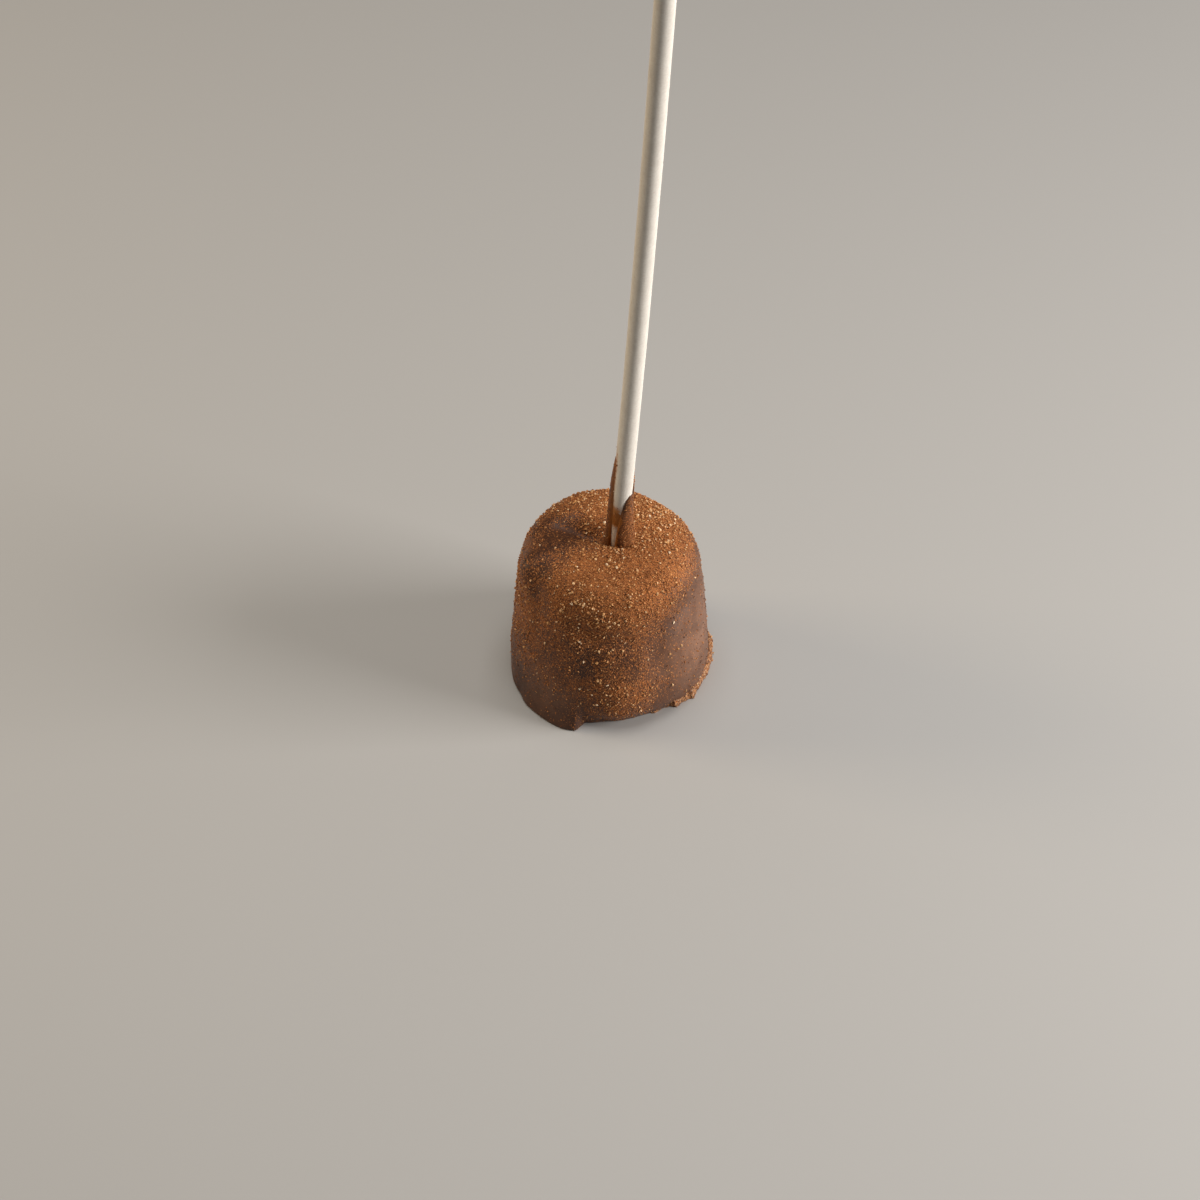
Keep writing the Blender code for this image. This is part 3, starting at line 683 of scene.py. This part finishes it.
def crust_mesh():
    start, end = (math.radians(a) for a in CRUST_ARC)
    bm = bmesh.new()
    loop = [bm.verts.new((1 + side, 0, level)) for side, level in CRUST_SECTION]
    bmesh.ops.rotate(bm, verts=bm.verts, cent=(0, 0, 0), matrix=Matrix.Rotation(start, 3, "Z"))
    for here, after in zip(loop, loop[1:] + loop[:1]):
        bm.edges.new((here, after))
    bmesh.ops.spin(bm, geom=bm.verts[:] + bm.edges[:], cent=(0, 0, 0), axis=(0, 0, 1), dvec=(0, 0, 0),
                   angle=end - start, steps=CRUST_STEPS, use_merge=False, use_duplicate=False)
    bmesh.ops.holes_fill(bm, edges=[e for e in bm.edges if e.is_boundary], sides=0)
    unit = vertex_array(bm)
    side = np.hypot(unit[:, 0], unit[:, 1]) - 1
    level = unit[:, 2]
    turn = np.arctan2(unit[:, 1], unit[:, 0])
    angle = np.degrees(turn)
    size, depth = CRUST_RAGGED
    around = np.stack([18 * np.cos(turn), 18 * np.sin(turn), 2.5 * level], axis=1)
    bites = unevenness(around, size, 3, 11.0)
    rim = by_angle(angle, CRUST_OUTLINE) + depth * bites
    inner = by_angle(angle, FOOT_OUTLINE) - CRUST_ROOT
    shelf_in = rim - CRUST_SHELF
    on_shelf = shelf_in + (side - 0.5) / 0.5 * CRUST_SHELF
    out = np.where(side >= 0.5, on_shelf, inner + side / 0.5 * (shelf_in - inner))
    low, high = CRUST_EDGE
    edge_height = low + (high - low) * np.clip(0.5 + unevenness(around, CRUST_WAVES, 2, 23.0), 0, 1)
    rise = np.clip((level - 0.5) / 0.5, 0, 1)
    above_edge = edge_height + (CRUST_HEIGHT - edge_height) * rise
    height = np.where(level <= 0.5, 2 * level * edge_height, above_edge)
    size, depth = CRUST_LUMPS
    lumps = depth * unevenness(around * 1.1, size, 2, 5.0) * (level > 0.2)
    height = np.where(level > 0, height + lumps, 0)
    place_verts(bm, np.stack([out * np.cos(turn), out * np.sin(turn), height], axis=1))
    broken = smooth_step(0.66, 0.86, side + 0.06 * bites)
    mark_verts(bm, "broken", broken)
    mark_verts(bm, "dust", 0.10 + 0.20 * broken)
    mark_verts(bm, "coarse", 0.2 + 0.8 * broken)
    bmesh.ops.recalc_face_normals(bm, faces=bm.faces)
    return bm


crust = new_piece("broken_crust", crust_mesh(), chocolate)
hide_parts("coated_marshmallow")

# ---- Chips of the crust ----
# Bits of the shelf that broke loose as it snapped: matt and pale, since all their faces are breaks.
# They stuck to the soft chocolate along the edge, a few large ones and many like coarse sand.
CHIPS = [(-61, 0.6), (-55, 0.5), (-46, 0.7), (-43, 0.9), (-39, 0.6), (-32, 0.9), (-26, 0.6), (-12, 0.5),
         (2, 0.6), (13, 0.6)]     # angle and size of the large ones
SMALL_CHIPS = 120
SMALL_CHIP_ARC = (-72, 22)
SMALL_CHIP_SIZE = (0.18, 0.42)
CHIP_ROUGH = 0.8
CHIP_INWARD = (0.3, 1.6)      # how far in from the edge they lie, in shares of their size
CHIP_COCOA = 0.15
CHIP_SEED = 5


def chips_mesh():
    draw = random.Random(CHIP_SEED)
    small = [(draw.uniform(*SMALL_CHIP_ARC), draw.uniform(*SMALL_CHIP_SIZE)) for _ in range(SMALL_CHIPS)]
    bm = bmesh.new()
    for angle, size in CHIPS + small:
        chip = bmesh.ops.create_icosphere(bm, subdivisions=2, radius=size / 2)["verts"]
        away = Vector((draw.uniform(0, 99), draw.uniform(0, 99), 0))
        for vert in chip:
            vert.co *= 1 + CHIP_ROUGH * noise.noise(vert.co * 2 / size + away)
        bmesh.ops.scale(bm, vec=(1.1, draw.uniform(0.7, 1), draw.uniform(0.55, 0.8)), verts=chip)
        turned = Matrix.Rotation(draw.uniform(0, 6.3), 3, "Z")
        bmesh.ops.rotate(bm, cent=(0, 0, 0), verts=chip, matrix=turned)
        inward = size * draw.uniform(*CHIP_INWARD)
        out = float(by_angle(angle, CRUST_OUTLINE)) - inward
        up = max(0.5 * size, 0.3 + 0.8 * inward + draw.uniform(0, 0.35))
        bmesh.ops.translate(bm, vec=polar(angle, out, up), verts=chip)
        for vert in chip:
            vert.co.z = max(vert.co.z, 0)
    mark_verts(bm, "broken", [draw.uniform(0.6, 1) for _ in bm.verts])
    mark_verts(bm, "dust", [CHIP_COCOA for _ in bm.verts])
    return bm


chips = new_piece("crust_chips", chips_mesh(), chocolate)
chips.data.shade_flat()
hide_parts("coated_marshmallow")

# ---- The stick ----
# White paper rolled tight round itself into a rod, glued and cut square. It is slightly bent above
# the chocolate, its skin is fibrous and matt, and chocolate fat has soaked in beside the collar.
STICK_LENGTH = 200.0
STICK_DEPTH = 24.0
STICK_BOW = -1.6
STICK_SIDES = 64
STICK_FINE = (-2.0, 32.0, 0.2)    # the stretch beside the collar that is divided finely, and its step
STICK_STEP = 0.9
STICK_BEVEL = 0.16
STICK_DENTS = (7.0, 0.025)
STICK_SEAM = (148, 0.035, 14)     # angle of the paper's outer edge, the step there, and its width
END_RINGS = 22
END_TURNS = 7                     # turns of paper that show on the cut end
END_GROOVE = (0.16, 0.09)         # the groove between two turns: its width as a share, and its depth
END_HOLE = (0.28, 0.5)            # radius and depth
# Fat and cocoa on the paper: (angle, distance from the entry, width in degrees, length, share).
AMBER_STAIN = [(-26, 8.9, 40, 3.0, 1.9), (-72, 24.0, 13, 4.0, 1.3), (-67, 17.5, 9, 6.0, 1.0),
               (-57, 10.5, 10, 3.5, 1.2), (-32, 3.5, 30, 5.0, 0.12)]
STICK_COCOA = [(-70, 23.5, 10, 3.5, 0.5), (-92, 20.0, 22, 6.0, 0.35), (90, 18.5, 14, 3.5, 0.6),
               (-30, 9.0, 30, 3.0, 0.12), (180, 17.0, 60, 4.0, 0.3)]
STICK_COCOA_LEAST = 0.02


def stick_mesh():
    free = STICK_LENGTH - STICK_DEPTH
    fine_from, fine_to, fine_step = STICK_FINE
    stations = np.concatenate([[-STICK_DEPTH], np.arange(fine_from, fine_to, fine_step),
                               np.arange(fine_to, free - STICK_BEVEL, STICK_STEP)])
    bend = np.linspace(0, math.pi / 2, 6)
    rows = [(STICK_RADIUS, s) for s in stations]
    rows += [(STICK_RADIUS - STICK_BEVEL * (1 - math.cos(b)), free - STICK_BEVEL * (1 - math.sin(b)))
             for b in bend]
    rows += [(r, free) for r in np.linspace(STICK_RADIUS - STICK_BEVEL, 0, END_RINGS)[1:]]
    bm = spin_outline([(0, -STICK_DEPTH)] + rows, STICK_SIDES)
    places = vertex_array(bm)
    radius = np.hypot(places[:, 0], places[:, 1])
    turn = np.arctan2(places[:, 1], places[:, 0])
    angle = np.degrees(np.arctan2(places[:, 0], -places[:, 1]))
    along = places[:, 2]

    size, depth = STICK_DENTS
    dents = depth * unevenness(np.stack([places[:, 0] * 2, places[:, 1] * 2, along], axis=1), size, 2, 2.0)
    seam_at, seam_step, seam_width = STICK_SEAM
    past_seam = (angle - seam_at) % 360
    seam = seam_step * np.exp(-past_seam / seam_width)
    on_side = smooth_step(STICK_RADIUS * 0.8, STICK_RADIUS * 0.95, radius)
    grow = 1 + (dents + seam) * on_side / STICK_RADIUS
    spiral = (radius / STICK_RADIUS * END_TURNS - turn / (2 * math.pi)) % 1
    at_end = along > free - 1e-3
    hole, hole_depth = END_HOLE
    width, depth = END_GROOVE
    groove = depth * np.exp(-((spiral - 0.5) / width) ** 2) * at_end * (radius > hole)
    hollow = hole_depth * at_end * smooth_step(hole * 1.5, hole * 0.7, radius)

    def spread_over(spots):
        return sum(share * np.exp(-((angle - at_angle) / wide) ** 2 - ((along - at_along) / long) ** 2)
                   for at_angle, at_along, wide, long, share in spots)

    stain = spread_over(AMBER_STAIN)
    patchy = 0.75 + 0.5 * unevenness(places, 1.0, 3, 6.0)
    mark_verts(bm, "stain", np.clip(stain * patchy, 0, 1))
    dusty = spread_over(STICK_COCOA)
    mark_verts(bm, "dust", np.where(dusty > STICK_COCOA_LEAST, dusty, 0))
    bend_off = STICK_BOW * (np.clip(along, 0, None) / free) ** 2
    place_verts(bm, np.stack([places[:, 0] * grow + bend_off, places[:, 1] * grow,
                              along - groove - hollow], axis=1))
    bmesh.ops.transform(bm, matrix=stick_frame(), verts=bm.verts)
    return bm


PAPER = (0.76, 0.715, 0.645, 1)
PAPER_SHADE = (0.60, 0.54, 0.47, 1)
SOAKED_PAPER = (0.36, 0.135, 0.024, 1)
FIBRES = ((0.7, 0.7, 1.3), 0.36)      # how they are squeezed along each axis, and their size
STRANDS = ((1.5, 1.5, 0.18), 0.5)
BLOTCH_SIZE = 3.5
PAPER_ROUGH = (0.88, 0.45)            # roughness where dry and where soaked
PAPER_RELIEF = (0.35, 0.05)           # strength and height of the weave


def paper_finish():
    """Uncoated rolled paper: short fibres across and along, faint blotches, and stains of cocoa fat."""
    material, tree, shader = new_material("rolled_paper")
    where = node(tree, "ShaderNodeTexCoord").outputs["Object"]
    squeeze, size = FIBRES
    across = node(tree, "ShaderNodeMapping", {"Vector": where, "Scale": squeeze}).outputs[0]
    fibres = speckle(tree, across, size, 4.0)
    squeeze, size = STRANDS
    lengthwise = node(tree, "ShaderNodeMapping", {"Vector": where, "Scale": squeeze}).outputs[0]
    strands = speckle(tree, lengthwise, size, 3.0)
    blotch = speckle(tree, where, BLOTCH_SIZE, 2.0)
    cocoa = node(tree, "ShaderNodeGroup", {"Cover": stored(tree, "dust")}, node_tree=COCOA_DUSTING)
    weave = calc(tree, "ADD", times(tree, fibres, 0.6), times(tree, strands, 0.4))
    colour = tint(tree, between(tree, weave, 0.60, 0.38, 0.0, 0.38), PAPER, PAPER_SHADE)
    colour = tint(tree, between(tree, blotch, 0.45, 0.8, 0.0, 0.3), colour, PAPER_SHADE)
    colour = tint(tree, stored(tree, "stain"), colour, SOAKED_PAPER)
    colour = tint(tree, cocoa.outputs["Mask"], colour, cocoa.outputs["Colour"])
    rough = between(tree, stored(tree, "stain"), 0.1, 0.9, *PAPER_ROUGH)
    strength, depth = PAPER_RELIEF
    bump = node(tree, "ShaderNodeBump", {"Height": weave, "Strength": strength, "Distance": depth * MM})
    fill(tree, shader, {"Base Color": colour, "Roughness": rough, "Normal": bump.outputs["Normal"]})
    return material


paper = paper_finish()
stick = new_piece("rolled_paper_stick", stick_mesh(), paper)
stick.data.set_sharp_from_angle(angle=math.radians(50))
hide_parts("paper_stick")

# ---- The cocoa ----
# Coarse cocoa and caramel crumbs sifted over the wet coat, so each grain is stuck fast: most on the
# crown and the front shoulder, a run of it down the belly, almost none on the right-hand wall.

# Each kind has a name, a least and greatest size, how many there are to a square millimetre at full
# cover and where bare, the power of the cover that their number follows, the share sunk in, whether
# they keep to the coarse spots, a shape and a finish.
GRAINS = [
    ("cocoa_dust", 0.12, 0.24, 6.5, 0.16, 1.4, 0.15, False, "chip", "cocoa"),
    ("cocoa_grains", 0.20, 0.42, 2.6, 0.04, 1.6, 0.20, False, "lump", "cocoa"),
    ("caramel_crumbs", 0.27, 0.62, 3.0, 0.015, 1.2, 0.28, True, "lump", "caramel"),
    ("dark_specks", 0.12, 0.24, 0.20, 0.14, 0.5, 0.25, False, "chip", "dark"),
]
GRAIN_PATCHES = (3.2, 0.45, 1.6)      # size of their clusters, and their number between and in these
GRAIN_CLEARANCE = 0.45        # none is stuck lower than this over the tray
GRAIN_SHAPES = 7
GRAIN_KNOCK = (0.62, 1.22)    # how far in and out the corners are knocked
GRAIN_TILT = 0.9
SMALL_OFTEN = 1.8             # the higher, the more of them are near the least size
GRAIN_MOTTLE = (0.12, 0.08)   # size of the mottling within a grain, and its strength
FIRST_SEED = 20
SEED_STEP = 10                # room for the seeds of one kind's own draws


def grain_shape(kind, chance):
    """One grain of unit size: a lump, or a chip with fewer sides, knocked out of shape."""
    bm = bmesh.new()
    if kind == "lump":
        bmesh.ops.create_icosphere(bm, subdivisions=1, radius=0.5)
    else:
        bmesh.ops.create_cube(bm, size=0.72)
        bmesh.ops.triangulate(bm, faces=bm.faces)
    for vert in bm.verts:
        vert.co *= chance.uniform(*GRAIN_KNOCK)
    bmesh.ops.scale(bm, vec=(1.1, chance.uniform(0.6, 1), chance.uniform(0.5, 0.85)), verts=bm.verts)
    return bm


def grain_finish(name, ramp, roughness):
    """Each grain has its own colour along the ramp, mottled within the grain."""
    material, tree, shader = new_material(name)
    where = node(tree, "ShaderNodeTexCoord").outputs["Object"]
    size, strength = GRAIN_MOTTLE
    mottle = speckle(tree, where, size, 2.0)
    shift = between(tree, mottle, 0.3, 0.7, -strength, strength)
    shade = calc(tree, "ADD", stored(tree, "grain_shade"), shift)
    colours = node(tree, "ShaderNodeValToRGB", {"Fac": shade})
    for element, (place, colour) in zip(colours.color_ramp.elements, (ramp[0], ramp[-1])):
        element.position = place
        element.color = colour
    for place, colour in ramp[1:-1]:
        colours.color_ramp.elements.new(place).color = colour
    rough = between(tree, mottle, 0.3, 0.7, roughness - strength, roughness + strength)
    fill(tree, shader, {"Base Color": colours.outputs["Color"], "Roughness": rough,
                        "Specular IOR Level": DULL})
    return material


COCOA_RAMP = [(0.0, DARK_COCOA), (0.25, (0.32, 0.110, 0.029, 1)), (0.65, (0.52, 0.200, 0.058, 1)),
              (1.0, (0.72, 0.38, 0.155, 1))]
CARAMEL_RAMP = [(0.0, (0.46, 0.185, 0.058, 1)), (0.45, (0.64, 0.33, 0.125, 1)),
                (0.85, (0.78, 0.50, 0.26, 1)), (1.0, (0.90, 0.72, 0.50, 1))]
SPECK_RAMP = [(0.0, (0.030, 0.012, 0.007, 1)), (1.0, (0.13, 0.042, 0.018, 1))]
GRAIN_FINISHES = {
    "cocoa": grain_finish("cocoa_grain", COCOA_RAMP, 0.72),
    "caramel": grain_finish("caramel_crumb", CARAMEL_RAMP, 0.42),
    "dark": grain_finish("dark_speck", SPECK_RAMP, 0.6),
}


def named(tree, name):
    return node(tree, "GeometryNodeInputNamedAttribute", {"Name": name}, data_type="FLOAT").outputs[0]


def scatter_tree(kind, supports, shapes, seed):
    """Geometry nodes that strew the shapes over the supports, more where their dust is thicker."""
    name, small, large, full, bare, power, sunk, coarse, _, _ = kind
    tree = bpy.data.node_groups.new(name, "GeometryNodeTree")
    tree.interface.new_socket("Geometry", in_out="OUTPUT", socket_type="NodeSocketGeometry")
    ground = node(tree, "GeometryNodeJoinGeometry")
    for support in supports:
        surface = node(tree, "GeometryNodeObjectInfo", {"Object": support})
        tree.links.new(surface.outputs["Geometry"], ground.inputs[0])
    dust = named(tree, "dust")
    place = node(tree, "GeometryNodeInputPosition").outputs[0]
    height = node(tree, "ShaderNodeSeparateXYZ", {0: place}).outputs["Z"]
    patch, sparse, dense = GRAIN_PATCHES
    cluster = between(tree, speckle(tree, place, patch, 2.0), 0.32, 0.68, sparse, dense)
    per_metre = 1 / MM ** 2
    thick = times(tree, calc(tree, "POWER", dust, power), full * per_metre)
    few = times(tree, calc(tree, "GREATER_THAN", dust, 0.005), bare * per_metre)
    if coarse:
        thick = times(tree, thick, named(tree, "coarse"))
    number = calc(tree, "ADD", times(tree, thick, cluster), few)
    number = times(tree, number, calc(tree, "GREATER_THAN", height, GRAIN_CLEARANCE * MM))
    spread = node(tree, "GeometryNodeDistributePointsOnFaces",
                  {"Mesh": ground.outputs[0], "Density": number, "Seed": seed})

    def chance(low, high, shift, data="FLOAT"):
        made = node(tree, "FunctionNodeRandomValue", {"Seed": seed + shift}, data_type=data)
        for label, value in (("Min", low), ("Max", high)):
            next(s for s in made.inputs if s.name == label and s.enabled).default_value = value
        return next(s for s in made.outputs if s.enabled)

    share = calc(tree, "POWER", chance(0.0, 1.0, 1), SMALL_OFTEN)
    size = calc(tree, "ADD", times(tree, share, (large - small) * MM), small * MM)
    tilt = chance((0, 0, 0), (GRAIN_TILT, GRAIN_TILT, 6.283), 2, "FLOAT_VECTOR")
    turned = node(tree, "FunctionNodeRotateRotation", {0: spread.outputs["Rotation"], 1: tilt},
                  rotation_space="LOCAL")
    lift = times(tree, size, 0.5 * (1 - 2 * sunk))
    raised = node(tree, "ShaderNodeVectorMath", {0: spread.outputs["Normal"], "Scale": lift},
                  operation="SCALE")
    points = node(tree, "GeometryNodeSetPosition",
                  {"Geometry": spread.outputs["Points"], "Offset": raised.outputs[0]})
    shaded = node(tree, "GeometryNodeStoreNamedAttribute",
                  {"Geometry": points.outputs[0], "Name": "grain_shade", "Value": chance(0.0, 1.0, 3)},
                  data_type="FLOAT", domain="POINT")
    grains = node(tree, "GeometryNodeCollectionInfo",
                  {"Collection": shapes, "Separate Children": True, "Reset Children": True})
    strewn = node(tree, "GeometryNodeInstanceOnPoints",
                  {"Points": shaded.outputs[0], "Instance": grains.outputs[0], "Pick Instance": True,
                   "Instance Index": chance(0, GRAIN_SHAPES - 1, 4, "INT"), "Rotation": turned.outputs[0],
                   "Scale": size})
    real = node(tree, "GeometryNodeRealizeInstances", {"Geometry": strewn.outputs[0]})
    node(tree, "NodeGroupOutput", {0: real.outputs[0]})
    return tree


def strew(kind, supports, seed):
    """Makes one piece that holds every grain of a kind, stuck on the supports."""
    name, shape, finish = kind[0], kind[8], kind[9]
    draw = random.Random(seed)
    shapes = bpy.data.collections.new(f"{name}_shapes")
    for number in range(GRAIN_SHAPES):
        mesh = mesh_from(grain_shape(shape, draw), f"{name}_{number}")
        shapes.objects.link(bpy.data.objects.new(mesh.name, mesh))
    piece = new_object(name, bpy.data.meshes.new(name))
    strewer = piece.modifiers.new("strewn", "NODES")
    strewer.node_group = scatter_tree(kind, supports, shapes, seed)
    graph = bpy.context.evaluated_depsgraph_get()
    mesh = bpy.data.meshes.new_from_object(piece.evaluated_get(graph))
    piece.modifiers.clear()
    mesh.name = name
    piece.data = mesh
    mesh.materials.clear()
    mesh.materials.append(GRAIN_FINISHES[finish])
    mesh.shade_flat()
    for template in list(shapes.objects):
        bpy.data.objects.remove(template)
    bpy.data.collections.remove(shapes)
    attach(piece, "root")


for number, kind in enumerate(GRAINS):
    supports = [coat, crust] if kind[-1] == "dark" else [coat, collar, crust, stick]
    strew(kind, supports, FIRST_SEED + SEED_STEP * number)

# ---- The studio ----
# A plain pale floor, a large soft light at the right, a weaker one at the left, one overhead, and
# the camera in front, looking down at the marshmallow.
FLOOR_RADIUS = 3.0
FLOOR_COLOUR = (0.46, 0.45, 0.435, 1)
FLOOR_ROUGH = 0.7
LIGHTS = [                       # place, size in metres, power in watts, colour
    ("soft_box_right", (0.60, -0.10, 0.20), 0.32, 5.5, (1.0, 0.965, 0.93)),
    ("soft_box_left", (-0.56, 0.12, 0.20), 0.22, 1.5, (1.0, 0.80, 0.54)),
    ("soft_box_overhead", (0.0, 0.0, 0.64), 0.34, 2.2, (1.0, 0.975, 0.94)),
]
AMBIENT = ((0.85, 0.85, 0.85, 1), 0.03)
CAMERA_PLACE = (-0.0018, -0.5868, 0.5942)
CAMERA_TILT = 90 - 44.6
CAMERA_LENS = 135
SENSOR_WIDTH = 36
LIGHTS_AIM = Vector((0, 0, 0.02))


def pale_floor():
    material, tree, shader = new_material("pale_floor")
    fill(tree, shader, {"Base Color": FLOOR_COLOUR, "Roughness": FLOOR_ROUGH})
    bm = bmesh.new()
    bmesh.ops.create_circle(bm, cap_ends=True, segments=96, radius=FLOOR_RADIUS)
    mesh = mesh_from(bm, "floor")
    mesh.materials.append(material)
    return new_object("floor", mesh)


pale_floor()

for name, place, size, power, colour in LIGHTS:
    lamp = bpy.data.lights.new(name, "AREA")
    lamp.shape = "SQUARE"
    lamp.size = size
    lamp.energy = power
    lamp.color = colour
    holder = new_object(name, lamp)
    holder.location = place
    holder.rotation_euler = (LIGHTS_AIM - Vector(place)).to_track_quat("-Z", "Y").to_euler()

world = bpy.data.worlds.new("studio")
world.use_nodes = True
colour, strength = AMBIENT
fill(world.node_tree, world.node_tree.nodes["Background"], {"Color": colour, "Strength": strength})
bpy.context.scene.world = world
bpy.context.scene.view_settings.view_transform = "Standard"

lens = bpy.data.cameras.new("camera")
lens.lens = CAMERA_LENS
lens.sensor_width = SENSOR_WIDTH
camera = new_object("camera", lens)
camera.location = CAMERA_PLACE
camera.rotation_euler = (math.radians(CAMERA_TILT), 0, 0)
bpy.context.scene.camera = camera
